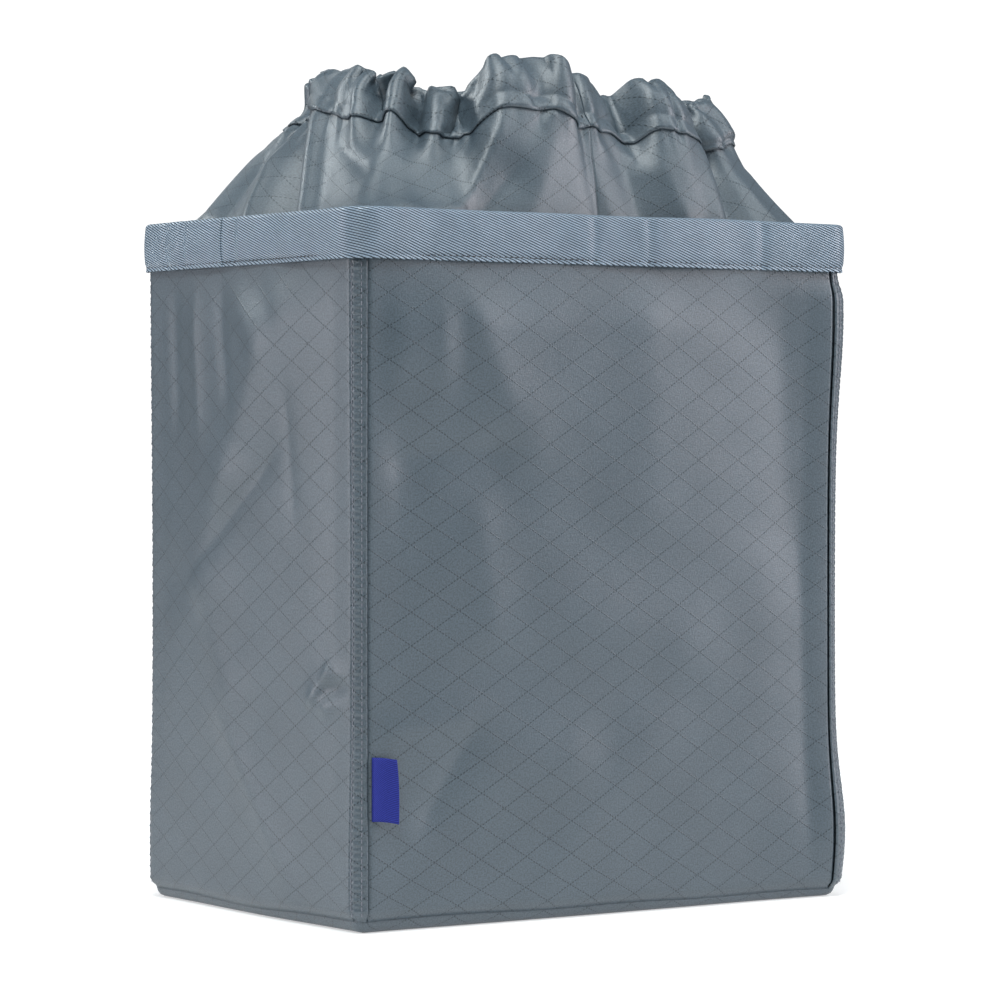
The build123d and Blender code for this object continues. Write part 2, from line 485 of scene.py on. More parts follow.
def fine_cloth_material(name, slot, pitch, roughness=0.6, gain=0.5, gloss=0.5):
    """Small ribbed cloth for thread, tape, ribbon and elastic, from object coordinates."""
    base = dyed(slot, (gain,) * 3)
    m = Nodes(name, base, roughness, gloss)
    place = m.add("TexCoord").outputs["Object"]
    inputs = [("Vector", place), ("Scale", 0.31 / pitch), ("Distortion", 1.5)]
    rib = m.add("TexWave", inputs, bands_direction="DIAGONAL")
    fuzz = m.noise(place, 1.2 / pitch, 3)
    shade = m.math("MULTIPLY", rib.outputs["Fac"], fuzz)
    m.set("Base Color", m.mix(m.ramp(shade, 0.05, 0.45), tone(base, 0.6), tone(base, 1.15)))
    m.bump(shade, pitch * 0.5, 0.6)
    return m.material


# ------------ wall panels and seams

def wall_rows(step=PANEL_STEP):
    return np.linspace(WALL_LOW, PANEL_TOP, int((PANEL_TOP - WALL_LOW) / step) + 1)


def cloth_uv(side, u, z):
    return np.stack([u + SIDES.index(side) * GRID_SHIFT, z], -1)


def make_panel(side, material):
    """One wall panel up to the seams at its two corners."""
    start, end = panel_ends(side)
    cols = np.linspace(-start, end, int((start + end) / PANEL_STEP) + 1)
    inner = cols[(cols > 3.0 * MM - start) & (cols < end - 3.0 * MM)]
    border = np.array([0.0, 0.4, 1.0, 1.6, 2.4]) * MM
    u, z = np.meshgrid(np.concatenate([border - start, inner, end - border[::-1]]), wall_rows())
    dip = np.zeros(u.shape)
    if side in ("front", "back"):
        dip = -1.0 * MM * (1 - smooth(np.minimum(u + start, end - u), 0.3 * MM, 1.5 * MM))
    obj = grid(f"{side}_cloth", wall_points(side, u, z, dip), cloth_uv(side, u, z), material)
    return thicken(obj, PANEL_CLOTH)


def corner_sides(name):
    """The side panel whose lap makes a corner seam, and which of its ends it is at, -1 or 1."""
    face, side = name.split("_")
    return side, 1 if (face == "front") == (side == "left") else -1


def pucker(along, z, seed):
    """Height of the small pulls between two rows of stitches, one for each stitch."""
    beat = np.sin(2 * pi * z / STITCH + 0.8 * ripple(0, z, seed, 0.03))
    between = bell(along - np.mean(SEAM_ROWS), 3.0 * MM)
    rows = sum(bell(along - row, 0.7 * MM) for row in SEAM_ROWS)
    return -0.22 * MM * between * (1 + beat) - 0.30 * MM * rows


def make_seam(name, material, thread):
    """Lapped seam at one corner, with its two rows of stitches."""
    side, sign = corner_sides(name)
    edge = seam_edge(side, sign)
    along = np.concatenate([[0, 0.15, 0.5], np.arange(1.0, SEAM_WIDTH / MM + 0.1, 0.55)]) * MM
    a, z = np.meshgrid(along, wall_rows(0.55 * MM))
    if sign > 0:
        a = a[:, ::-1]
    u = sign * (edge - a)
    lift = 0.45 * MM * (1 - smooth(a, SEAM_ROWS[0] + 1.5 * MM, SEAM_WIDTH)) + pucker(a, z, len(name))
    lift -= 0.5 * MM * (1 - smooth(a, 0, 0.5 * MM))
    obj = grid(f"seam_{name}", wall_points(side, u, z, lift), cloth_uv(side, u, z), material)
    thicken(obj, LAPPED_CLOTH)

    centres, outs = [], []
    zs = np.arange(WALL_LOW + 4 * MM, WEB_LOW - 1 * MM, STITCH)
    for row in SEAM_ROWS:
        us = np.full(zs.shape, sign * (edge - row))
        centres.append(wall_points(side, us, zs, SEAM_LIFT[row]))
        outs.append(np.column_stack([plan(side, us)[1], 0 * zs]))
    centres, outs = np.concatenate(centres), np.concatenate(outs)
    upright = np.tile([0, 0, 1.0], (len(centres), 1))
    return obj, make_stitches(f"stitches_{name}", centres, upright, outs, thread)


def make_stitches(name, centres, along, out, material):
    """One mesh of short plump stitches: each dips into the cloth at its two ends."""
    rings, sides = 6, 6
    t, angle = np.meshgrid(np.linspace(-1, 1, rings), np.arange(sides) * 2 * pi / sides, indexing="ij")
    radius = np.sqrt(np.clip(1 - t ** 4, 0.02, 1)) * STITCH_WIDE / 2
    dip = 0.35 * STITCH_WIDE * t ** 2
    parts = (
        (along, t * STITCH_LONG / 2),
        (np.cross(out, along), radius * np.cos(angle)),
        (out, 0.8 * radius * np.sin(angle) - dip),
    )
    points = centres[:, None, None] + sum(v[:, None, None] * size[..., None] for v, size in parts)
    *_, quads = quads_of(rings, sides, True)
    last = (rings - 1) * sides
    caps = np.array([[0, 3, 2, 1], [0, 5, 4, 3], [0, 1, 2, 3], [0, 3, 4, 5]]) + [[0], [0], [last], [last]]
    quads = np.concatenate([quads, caps])
    base = np.arange(len(centres))[:, None, None] * rings * sides
    return mesh_from(name, points.reshape(-1, 3), (quads[None] + base).reshape(-1, 4), material)


def make_bottom(material):
    """Base cloth: flat on the floor, turned up round its edge into the bottom seam."""
    inset = np.array([60, 36, 20, 11, 6.5, 3.8, 2.0, 1.0, 0.5, 0.5]) * MM
    climb = np.array([0.0, 0.0, 0.0, 0.0, 0.02, 0.1, 0.24, 0.44, 0.64, 1.0])
    edges, normals, tops = [], [], []
    for side in SIDES:
        end = side_length(side, HALVES, CORNER) / 2
        u = np.linspace(-end, end, 90)[:-1]
        edge = wall_points(side, u, np.full(u.shape, WALL_LOW))
        edges.append(edge[:, :2])
        tops.append(edge[:, 2] + 2 * MM)
        normals.append(plan(side, u)[1])
    edge, normal, top = (np.concatenate(parts) for parts in (edges, normals, tops))
    rows, spread = [], []
    for inward, share_up in zip(inset, climb):
        centre = edge * (1 - inward / np.array(HALVES))
        share = smooth(inward, 8 * MM, 20 * MM)
        flat = (edge - normal * inward) * (1 - share) + centre * share
        rows.append(np.column_stack([flat, top * share_up]))
        spread.append(flat + normal * (top * share_up)[:, None])
    points = np.array(rows)
    obj = grid("bottom_cloth", points, np.array(spread), material, closed=True)
    bm = bmesh.new()
    bm.from_mesh(obj.data)
    bm.verts.ensure_lookup_table()
    bm.faces.new([bm.verts[i] for i in reversed(range(points.shape[1]))])
    bm.to_mesh(obj.data)
    bm.free()
    thicken(obj, PANEL_CLOTH, offset=1.0)
    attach(obj, "bag")
    return obj


# ------------ the rim

WEB_SPANS = {
    "front_left": (along("left", -LEFT_JOIN) - ROUND, along("front", FRONT_JOIN)),
    "front_right": (along("front", FRONT_JOIN), along("right", -LEFT_JOIN)),
    "back_right": (along("right", -LEFT_JOIN), along("back", -FRONT_JOIN)),
    "back_left": (along("back", -FRONT_JOIN), along("left", -LEFT_JOIN)),
}


def twill(s, height):
    """Diagonal ridges of the webbing, 0 to 1."""
    return np.abs(np.sin(pi * (s / TWILL_ALONG + height / TWILL_UP))) ** 0.7


WEB_LAPS = {                    # how far each length's start lies under and its end over, mm
    "front_left": (0.08, 0.14),
    "front_right": (0.26, 0.04),
    "back_right": (0.08, 0.04),
    "back_left": (0.08, 0.04),
}
WEB_KINKS = (-330, -312, -262, -12, 22, 96)     # soft upright creases, mm round from the front middle
WEB_UNDER, WEB_OVER = 9 * MM, 0.6 * MM          # how far each length runs past its two joins
WEB_IN, WEB_ROUND = -1.4 * MM, 1.9 * MM         # the inner leaf's place, and the height of the folded top
WEB_HIGH = RIM_TOP - WEB_LOW


def web_swell(s):
    """Slow in-and-out of the webbing between the corners."""
    wave = 1.3 * MM * ripple(s, 0, 31, 0.14) + 0.85 * MM * ripple(s, 0, 32, 0.045)
    return wave - 1.1 * MM * sum(bell(from_place(s, at * MM), 3 * MM) for at in WEB_KINKS)


def make_webbing(name, material):
    """Webbing folded over the rim: outer leaf, rounded top, inner leaf, with twill ridges."""
    start, end = WEB_SPANS[name]
    s = np.arange(start - WEB_UNDER, end + WEB_OVER, 0.6 * MM)
    bend = RIM_TOP - WEB_ROUND
    outer, inner = np.ones(70), np.ones(18)
    turn = np.linspace(0, pi, 10)[1:-1]
    middle, radius = (WEB_OUT + WEB_IN) / 2, (WEB_OUT - WEB_IN) / 2
    up, down = np.linspace(WEB_LOW, bend, len(outer)), np.linspace(bend, WEB_LOW + 0.4 * MM, len(inner))
    z = np.concatenate([up, bend + WEB_ROUND * np.sin(turn), down])
    out = np.concatenate([WEB_OUT * outer, middle + radius * np.cos(turn), WEB_IN * inner])
    face = np.concatenate([outer, np.cos(turn / 2), 0 * inner])
    S, Z = np.meshgrid(s, z)
    F, O, H = (np.repeat(v[:, None], len(s), 1) for v in (face, out, z - WEB_LOW))
    pillow = 0.9 * MM * np.sin(pi * np.clip(H / WEB_HIGH, 0, 1)) - 0.5 * MM * bell(H - 2 * MM, 1.3 * MM)
    sunk, raised = WEB_LAPS[name]
    lift = raised * MM * smooth(S, end - 7 * MM, end)
    lift -= sunk * MM * (1 - smooth(S, start - 1 * MM, start + 4 * MM))
    wave = web_swell(S)
    ridge = 0.22 * MM * (twill(S, H) - 0.5)
    O = O + F * (pillow + lift + ridge) + wave * (0.4 + 0.6 * F) - (1 - F) * lift * 0.2
    edge = 0.30 * MM * np.abs(np.sin(pi * S / (0.5 * TWILL_ALONG))) * (H < 0.6 * MM)
    Z = Z - edge + 0.35 * MM * ripple(S, 0, 44, 0.12) * (H / WEB_HIGH)
    points = np.concatenate([around(S, O)[0], Z[..., None]], -1)
    reach = np.concatenate([[0], np.cumsum(np.hypot(np.diff(out), np.diff(z)))])
    uv = np.stack([S, np.repeat(reach[:, None], len(s), 1)], -1)
    obj = grid(f"webbing_{name}", points, uv, material)
    thicken(obj, LAPPED_CLOTH)
    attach(obj, "rim")
    return obj


def make_rim_stitches(thread):
    """Row of stitches through the lower edge of the webbing, all the way round."""
    s = np.arange(0, ROUND - STITCH / 2, STITCH)
    low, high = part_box("rim_thread")
    points, normal = around(s, WEB_OUT - 0.25 * MM + web_swell(s))
    centres = np.column_stack([points, np.full(len(s), (low.z + high.z) / 2)])
    tangent = np.column_stack([-normal[:, 1], normal[:, 0], np.zeros(len(s))])
    outward = np.column_stack([normal, np.zeros(len(s))])
    obj = make_stitches("rim_stitches", centres, tangent, outward, thread)
    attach(obj, "rim")
    return obj


# ------------ gathered collar

# Stations round the collar, in mm: (place on the elastic, place on the cloth, out, height of the elastic)
GATHERS = [
    (-310, -497, 2, 412), (-288, -452, 8, 416), (-266, -412, -6, 410), (-246, -362, 8, 417),
    (-226, -304, -5, 414), (-212, -262, -15, 419), (-200, -243, -10, 427), (-184, -228, -4, 429),
    (-156, -202, 0, 422), (-141, -184, 1, 420), (-130, -168, 6, 420), (-119, -151, -12, 411),
    (-108, -137, 5, 423), (-98, -122, -15, 404), (-88, -107, 6, 412), (-76, -91, -15, 402),
    (-67, -76, -2, 412), (-59, -64, 8, 426), (-42, -47, 10, 426), (-25, -27, 10, 423),
    (-14, -10, 8, 418), (-2, 6, 4, 416), (12, 20, -3, 415), (25, 34, -11, 405),
    (36, 48, 6, 420), (50, 62, 9, 418), (62, 76, 4, 413), (73, 94, -10, 405),
    (88, 116, 5, 411), (112, 146, 4, 411), (134, 196, -4, 406), (156, 250, 3, 410),
    (184, 305, -5, 407), (212, 352, 5, 415), (238, 392, -5, 410), (262, 428, 8, 417),
    (288, 466, -4, 410),
]
SKIRT_LOW = 331 * MM
SKIRT_FLAT = 6 * MM
SKIRT_ROWS = 19
CHANNEL_BELOW = 14 * MM         # cloth from the hem row up to the elastic
CHANNEL_ABOVE = 15 * MM         # cloth from the elastic up to the top edge
CHANNEL_ROWS = (4, 5)
CHANNEL_LEAN = radians(38)      # how far the channel leans in where it is not gathered
GATHERS_FROM = 0.48             # share of the way up the skirt where the gathers begin
ELASTIC_ROW = SKIRT_ROWS - 1 + CHANNEL_ROWS[0]
COLLAR_FINE = 3                 # smooth points made for each simulated one
CHANNEL_HALF = 1.5 * MM         # half the hollow of the channel
CHANNEL_EDGE = ((1, 0.95), (2, 0.95), (2, 0.4))     # its turned edge: rows below the hem, mm outwards
ELASTIC_RADIUS = 1.1 * MM
CLOTH_STEP = 4.0 * MM
SIM_FRAMES = 45
RING_HALVES, RING_CORNER = (107.5 * MM, 71.5 * MM), 55.5 * MM
RING_ROUND = 620.7 * MM         # length of the elastic's path
STATION_ROUND = 994 * MM        # cloth round the collar, as the stations count it


def ring(c, out):
    """Plan points and normals on the elastic's path at distance c from its front middle."""
    points, normals = around(c, out, RING_HALVES, RING_CORNER)
    low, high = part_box("elastic_cord")
    points[..., 0] += (low.x + high.x) / 2
    return points, normals


def stations(s):
    """Place on the elastic, outward offset and height at cloth distance s."""
    table = np.array(GATHERS, float) * MM
    cloth = table[:, 1] * ROUND / STATION_ROUND
    wide = np.concatenate([cloth - ROUND, cloth, cloth + ROUND])
    s = from_place(np.asarray(s, float), 0)
    dense = np.linspace(-ROUND, ROUND, 2401)
    kernel = np.exp(-np.linspace(-2, 2, 15) ** 2)
    kernel /= kernel.sum()
    found = []
    for column, step in ((0, RING_ROUND), (2, 0.0), (3, 0.0)):
        value = table[:, column]
        value = np.interp(dense, wide, np.concatenate([value - step, value, value + step]))
        value = np.convolve(np.pad(value, 7, mode="edge"), kernel, "valid")
        found.append(np.interp(s, dense, value))
    return found


def gathering(s):
    """How many times more cloth than path there is at s, once the broad folds have taken theirs."""
    step = 2 * MM
    c, out, z = stations(np.stack([s - step, s + step]))
    ends, _ = ring(c, out)
    length = np.hypot(np.linalg.norm(ends[1] - ends[0], axis=-1), z[1] - z[0])
    return np.clip(2 * step / length, 1.0, 3.0)


def elastic_path(s):
    """Points of the gathered cloth on the elastic, folded in and out to keep its length."""
    c, out, z = stations(s)
    ratio = gathering(s)
    pitch = 33 * MM
    phase = 2 * pi * s / pitch + 2.0 * ripple(s, 0, 61, 0.16)
    size = np.minimum(pitch / ratio / pi * np.sqrt(ratio - 1), 9 * MM)
    size = size * (1 - 0.65 * bell(s + 172 * MM, 42 * MM))
    zigzag = np.arcsin(0.96 * np.sin(phase)) / (pi / 2)
    in_and_out = 1.15 * size * zigzag * (1 + 0.25 * ripple(s, 0, 62, 0.09))
    sway = -0.28 * size * np.sin(2 * phase)
    points, _ = ring(c + sway, out + in_and_out)
    return points, z + 2.5 * MM * np.sin(phase + 1.0) * np.minimum(size / (4 * MM), 1), ratio


def collar_rows():
    """Row labels from the rim up to the top edge: share of the skirt, then cloth above the hem."""
    skirt = np.linspace(0, 1, SKIRT_ROWS)
    low, high = CHANNEL_ROWS
    channel = np.concatenate([
        np.linspace(0, CHANNEL_BELOW, low + 1)[1:],
        CHANNEL_BELOW + np.linspace(0, CHANNEL_ABOVE, high + 1)[1:],
    ])
    return skirt, channel


def collar_start():
    """Cloth tube before it falls: its points, and the flat lengths up each column."""
    s = np.linspace(-ROUND / 2, ROUND / 2, int(ROUND / CLOTH_STEP) + 1)[:-1]
    skirt, channel = collar_rows()
    foot, _ = around(s, -3.2 * MM)
    elastic, height, ratio = elastic_path(s)
    c, out, z = stations(s)
    smooth_ring, normal = ring(c, out)
    foot3 = np.column_stack([foot, np.full(len(s), SKIRT_LOW + SKIRT_FLAT)])
    calm3 = np.column_stack([smooth_ring, z])
    broad3 = soften(calm3, 9)
    slope = calm3 - foot3
    gathers = np.column_stack([elastic, height]) - calm3
    length = np.linalg.norm(slope, axis=1)
    low = np.column_stack([foot, np.full(len(s), SKIRT_LOW)])
    rows, lengths, plain = [low], [np.zeros(len(s))], [low]
    hem_share = 1 - CHANNEL_BELOW / length
    belly = (5 - 9 * smooth(foot[:, 0], 60 * MM, 140 * MM)) * MM
    for share in skirt[1:]:
        t = (share * hem_share)[:, None]
        calm = foot3 + (broad3 - foot3) * t + (calm3 - broad3) * smooth(t, 0.55, 1.0)
        calm[:, :2] += normal * belly[:, None] * np.sin(pi * t)
        rows.append(calm + gathers * smooth(t, GATHERS_FROM, 1.0))
        plain.append(calm)
        lengths.append(SKIRT_FLAT + t[:, 0] * length * 1.03)
    for step in channel:
        if step < CHANNEL_BELOW - 1e-9:
            t = (hem_share + step / length)[:, None]
            point = foot3 + slope * t + gathers * smooth(t, GATHERS_FROM, 1.0)
        else:
            above = step - CHANNEL_BELOW
            lean = CHANNEL_LEAN * (1 - smooth(ratio, 1.15, 1.7))
            point = calm3 + gathers
            point[:, 2] += above * np.cos(lean)
            point[:, :2] += gathers[:, :2] * (above / CHANNEL_ABOVE) * 0.4
            point[:, :2] -= normal * (above * np.sin(lean))[:, None]
        rows.append(point)
        lengths.append(lengths[SKIRT_ROWS - 1] + step)
    return s, np.array(rows), np.array(lengths), np.array(plain)


def soften(rows, reach):
    """Rows of points averaged along the cloth, over reach columns each way."""
    columns = rows.ndim - 2
    kernel = bell(np.arange(-reach, reach + 1), reach / 2)
    return sum(k * np.roll(rows, i - reach, columns) for i, k in enumerate(kernel / kernel.sum()))


def calm_skirt(points, plain, lengths):
    """Draws the skirt's middle into broad faces, so that the gathers stay short, near the hem."""
    rows = len(plain)
    away = points[:rows] - plain
    share = lengths[:rows] / lengths[rows - 1]
    weight = 0.90 * smooth(share, 0.04, 0.25) * (1 - smooth(share, 0.70, 1.0))
    points = points.copy()
    points[:rows] = plain + away + (soften(away, 18) - away) * weight[..., None]
    return points


def flat_tube(s, lengths):
    """The same cloth as a plain upright tube, which sets how long its threads are."""
    angle = 2 * pi * s / ROUND
    circle = np.column_stack([np.cos(angle), np.sin(angle)]) * ROUND / (2 * pi)
    return np.concatenate([np.broadcast_to(circle, lengths.shape + (2,)), lengths[..., None]], -1)


CLOTH_SETTINGS = {
    "quality": 7, "mass": 0.12, "air_damping": 3,
    "tension_stiffness": 30, "compression_stiffness": 30, "shear_stiffness": 12, "bending_stiffness": 1.2,
    "tension_damping": 12, "compression_damping": 12, "shear_damping": 8, "bending_damping": 0.6,
}


def fall(points, flat):
    """Lets the tube find its own folds with its rim and elastic rows held still."""
    rows, cols = points.shape[:2]
    obj = grid("collar_trial", points, points[..., :2], None, closed=True)
    obj.shape_key_add(name="Basis")
    rest = obj.shape_key_add(name="cut")
    rest.data.foreach_set("co", flat.reshape(-1).astype(np.float32))
    rest.value = 0.0
    held = obj.vertex_groups.new(name="held")
    held.add([r * cols + c for r in (0, 1, ELASTIC_ROW) for c in range(cols)], 1.0, "REPLACE")
    cloth = obj.modifiers.new("cloth", "CLOTH")
    for name, value in CLOTH_SETTINGS.items():
        setattr(cloth.settings, name, value)
    cloth.settings.vertex_group_mass = "held"
    cloth.settings.rest_shape_key = rest
    cloth.settings.effector_weights.gravity = 0.25
    touch = cloth.collision_settings
    touch.use_collision = False
    touch.use_self_collision = True
    touch.self_distance_min = touch.distance_min = 1.2 * MM
    scene = bpy.context.scene
    scene.frame_start, scene.frame_end = 1, SIM_FRAMES
    cloth.point_cache.frame_start, cloth.point_cache.frame_end = 1, SIM_FRAMES
    for frame_number in range(1, SIM_FRAMES + 1):
        scene.frame_set(frame_number)
    fallen = obj.evaluated_get(bpy.context.evaluated_depsgraph_get()).to_mesh()
    result = np.empty(len(fallen.vertices) * 3, np.float32)
    fallen.vertices.foreach_get("co", result)
    scene.frame_set(1)
    bpy.data.objects.remove(obj)
    return result.reshape(rows, cols, 3).astype(float)


def spline(p, closed):
    """Smooth (Catmull-Rom) points between the rows of p."""
    n = len(p)
    at = np.arange(n * COLLAR_FINE if closed else (n - 1) * COLLAR_FINE + 1) / COLLAR_FINE
    i = np.minimum(at.astype(int), n - 1 if closed else n - 2)
    t = (at - i).reshape((-1,) + (1,) * (p.ndim - 1))
    near = [(i + k) % n if closed else np.clip(i + k, 0, n - 1) for k in (-1, 0, 1, 2)]
    a, b, c, d = (p[k] for k in near)
    return 0.5 * (2 * b + (c - a) * t + (2 * a - 5 * b + 4 * c - d) * t ** 2
                  + (3 * b - a - 3 * c + d) * t ** 3)


def refine(points):
    """A tube's points with smooth ones between its columns, then between its rows."""
    across = spline(np.swapaxes(points, 0, 1), True)
    return spline(np.swapaxes(across, 0, 1), False)


def normals_of(points):
    """Outward normals of a tube given as rows x columns of points."""
    du = np.roll(points, -1, 1) - np.roll(points, 1, 1)
    dv = np.gradient(points, axis=0)
    return unit(np.cross(du, dv))


SKIRT_HIGH = 85                 # mm from the rim to the hem
SKIRT_RIDGES = (                # mm round from the front middle, lean, width, height
    (-205.2, -0.10, 9, 6.0),
    (-230.4, -0.20, 13, -13.0),
    (-300, 0.0, 36, 7.0),
    (76, 0.12, 8, 3.0),
    (94, 0.05, 10, -7.0),
)
SKIRT_CREASES = (               # mm round from the front middle and up from the rim, then width and height
    ((-196, 4), (-128, 24), 12, 6.4),
    ((-128, 24), (-92, 28), 11, 5.6),
    ((-92, 28), (-66, 76), 9, 4.8),
    ((-84, 20), (-56, 50), 9, -2.4),
    ((-30, 84), (-50, 16), 18, 2.2),
    ((-8, 78), (2, 10), 7, -2.6),
    ((22, 72), (30, 10), 12, -3.2),
    ((44, 70), (58, 14), 12, 2.4),
    ((-182, 66), (-154, 50), 6, -1.8),
    ((120, 60), (132, 10), 9, 2.2),
    ((-252, 66), (-238, 8), 7, -5.0),
    ((-272, 62), (-262, 8), 8, 4.6),
    ((-296, 64), (-292, 8), 8, -4.0),
    ((-322, 70), (-312, 10), 12, 3.0),
)


def fold_by_hand(points, lengths, s):
    """Large folds pressed into the skirt: a lap at its left, ridges beside it, one lap at its right."""
    normal = normals_of(points)
    share = lengths / lengths[SKIRT_ROWS - 1]
    where = np.broadcast_to(s, share.shape) / MM
    high = share * SKIRT_HIGH
    rise = smooth(share, 0.08, 0.3) * (1 - smooth(share, 0.85, 1.15))
    d = sum(height * bell(where - at - lean * high, width) for at, lean, width, height in SKIRT_RIDGES) * rise
    for line in SKIRT_CREASES:
        d += fold(where * MM, high * MM, *line) / MM
    return points + normal * (d * MM)[..., None]


def make_collar(cloth, thread):
    """Skirt, hem channel and their stitches: pieces by node, fine points, hem row and its cloth lengths."""
    s, points, lengths, plain = collar_start()
    points = fall(points, flat_tube(s, lengths))
    points = calm_skirt(points, plain, lengths)
    points = fold_by_hand(points, lengths, s)
    for _ in range(3):          # eases the held row into the rows beside it
        near = points[ELASTIC_ROW - 3:ELASTIC_ROW + 4]
        points[ELASTIC_ROW - 2:ELASTIC_ROW + 3] = 0.5 * near[1:-1] + 0.25 * (near[:-2] + near[2:])
    fine = refine(points)
    reach = refine(lengths[..., None])[..., 0]
    cols = fine.shape[1]
    place = np.linspace(-ROUND / 2, ROUND / 2, cols + 1)[:-1]
    uv = np.stack([np.broadcast_to(place, reach.shape), reach + RIM_TOP], -1)
    normal = normals_of(fine)
    hem = (SKIRT_ROWS - 1) * COLLAR_FINE
    made = {}
    half = cols // 2
    for side, take in (("left", np.arange(half + 1)), ("right", np.append(np.arange(half, cols), 0))):
        coords = uv[:, take]
        if side == "right":
            coords[:, -1, 0] += ROUND
        obj = grid(f"skirt_cloth_{side}", fine[:hem + 1, take], coords[:hem + 1], cloth)
        made[f"skirt_{side}"] = thicken(obj, SKIRT_CLOTH)
        made[f"hem_channel_{side}"] = make_channel(side, fine[:, take], normal[:, take], coords, hem, cloth)
    made["hem_thread"] = make_hem_stitches(fine, normal, hem, thread)
    return made, fine, hem, reach[hem]


def make_channel(side, points, normal, uv, hem, cloth):
    """Closed flat tunnel: up the inside, over the top, down the outside to a turned edge."""
    climb = np.linspace(0, 1, points.shape[0] - hem)
    body = CHANNEL_HALF * np.clip(np.sin(pi * climb ** 0.8), 0, 1) ** 0.5
    body = np.maximum(body, CHANNEL_CLOTH * (climb < 1)) + 0.15 * MM
    inside = points[hem:] - normal[hem:] * (body * (climb > 0))[:, None, None]
    outside = points[hem:] + normal[hem:] * (body + CHANNEL_CLOTH)[:, None, None]
    edge = [points[hem - back] + normal[hem - back] * out * MM for back, out in CHANNEL_EDGE]
    rows = np.concatenate([inside, outside[::-1], edge])
    below = [uv[hem - back] for back, _ in CHANNEL_EDGE]
    coords = np.concatenate([uv[hem:], uv[hem:][::-1], below])
    return thicken(grid(f"channel_{side}", rows, coords, cloth), CHANNEL_CLOTH)


def stitch_line(line, normal, first, last, ahead):
    """Centres, directions and outward normals of a row of stitches along a line of points."""
    reach = np.concatenate([[0], np.cumsum(np.linalg.norm(np.diff(line, axis=0), axis=1))])
    at = np.arange(first, reach[-1] - last, STITCH)

    def follow(values, place):
        return np.column_stack([np.interp(place, reach, values[:, i]) for i in range(3)])

    centre = follow(line, at)
    return centre, unit(follow(line, at + ahead) - centre), follow(normal, at)


def make_hem_stitches(points, normal, hem, thread):
    """Stitches along the hem row of the channel, and up the channel's two seams."""
    line, outward = (np.concatenate([rows[hem], rows[hem, :1]]) for rows in (points, normal))
    centre, tangent, out = stitch_line(line, outward, 0, STITCH / 2, MM / 1000)
    rows = [(centre + out * 0.85 * MM, tangent, out)]
    cols = points.shape[1]
    for column in (cols // 2 - 2, cols - 2):
        out = normal[hem + 1:, column]
        line = points[hem + 1:, column] + out * 2.0 * MM
        rows.append(stitch_line(line, out, STITCH / 2, 2 * MM, MM))
    return make_stitches("hem_stitches", *map(np.concatenate, zip(*rows)), thread)


def make_elastic(points, material):
    """Round elastic that lies in the gathered channel."""
    line = points[ELASTIC_ROW * COLLAR_FINE]
    tangent = unit(np.roll(line, -1, 0) - np.roll(line, 1, 0))
    side = unit(np.cross(tangent, [0, 0, 1.0]))
    up = np.cross(side, tangent)
    angles = np.linspace(0, 2 * pi, 9)
    rows = np.array([line + ELASTIC_RADIUS * (side * cos(a) + up * sin(a)) for a in angles])
    return grid("elastic_loop", rows, rows[..., :2], material, closed=True)


# ------------ flag, inner binding

FLAG_GAP = 0.34 * MM            # half the gap between the ribbon's two leaves
FLAG_ROOT = FLAG_LOW.x - 2.6 * MM


def make_flag(material):
    """Ribbon folded into a loop, its two ends sewn into the corner seam."""
    length, height = 0.87 * (FLAG_HIGH.x - FLAG_LOW.x), 0.95 * (FLAG_HIGH.z - FLAG_LOW.z)
    reach = np.linspace(0, 1, 15)
    turn = np.linspace(0, pi, 9)[1:-1]
    x = np.concatenate([reach * length, length + FLAG_GAP * np.sin(turn), reach[::-1] * length])
    thick = FLAG_GAP * np.concatenate([np.ones(15), np.cos(turn), -np.ones(15)])
    X, Z = np.meshgrid(x, np.linspace(0, 1, 25))
    bow = (5.2 - 1.4 * Z) * MM * (X / length) ** 2.2
    bow += 0.4 * MM * np.sin(2.4 * Z + 5) * (X / length) ** 2
    X = X * (0.955 + 0.06 * np.sin(pi * np.clip(0.15 + 0.75 * Z, 0, 1)) - 0.05 * Z ** 3)
    droop = 1.4 * MM * (X / length) ** 2
    up = FLAG_LOW.z - 1.0 * MM + Z * height - droop
    points = np.stack([FLAG_ROOT + X, FLAG_HIGH.y + 0.2 * MM - thick - bow, up], -1)
    obj = grid("flag_ribbon", points, np.stack([X, Z * height], -1), material)
    return thicken(obj, 0.3 * MM, offset=0)


# Section of the tape: mm inwards, share of its height
TAPE_PROFILE = [(0.0, 0.2), (0.0, 1.0), (0.5, 1.12), (1.1, 1.0), (1.3, 0.5), (1.1, 0.06), (0.5, 0.0)]


def make_binding(material):
    """Tape bound over the raw edges of the bottom seam, inside the bag."""
    s = np.linspace(0, ROUND, 421)[:-1]
    low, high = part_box("bottom_seam_binding")
    wave = 0.3 * MM * ripple(s, 0, 71, 0.05)
    rows = []
    for inward, up in TAPE_PROFILE + TAPE_PROFILE[:1]:
        points, _ = around(s, high.x - HALF_X - 3.2 * MM - inward * MM)
        rows.append(np.column_stack([points, low.z + up * (high.z - low.z) + wave]))
    rows = np.array(rows)
    return grid("binding_tape", rows, rows[..., :2], material, closed=True)


# ------------ studio

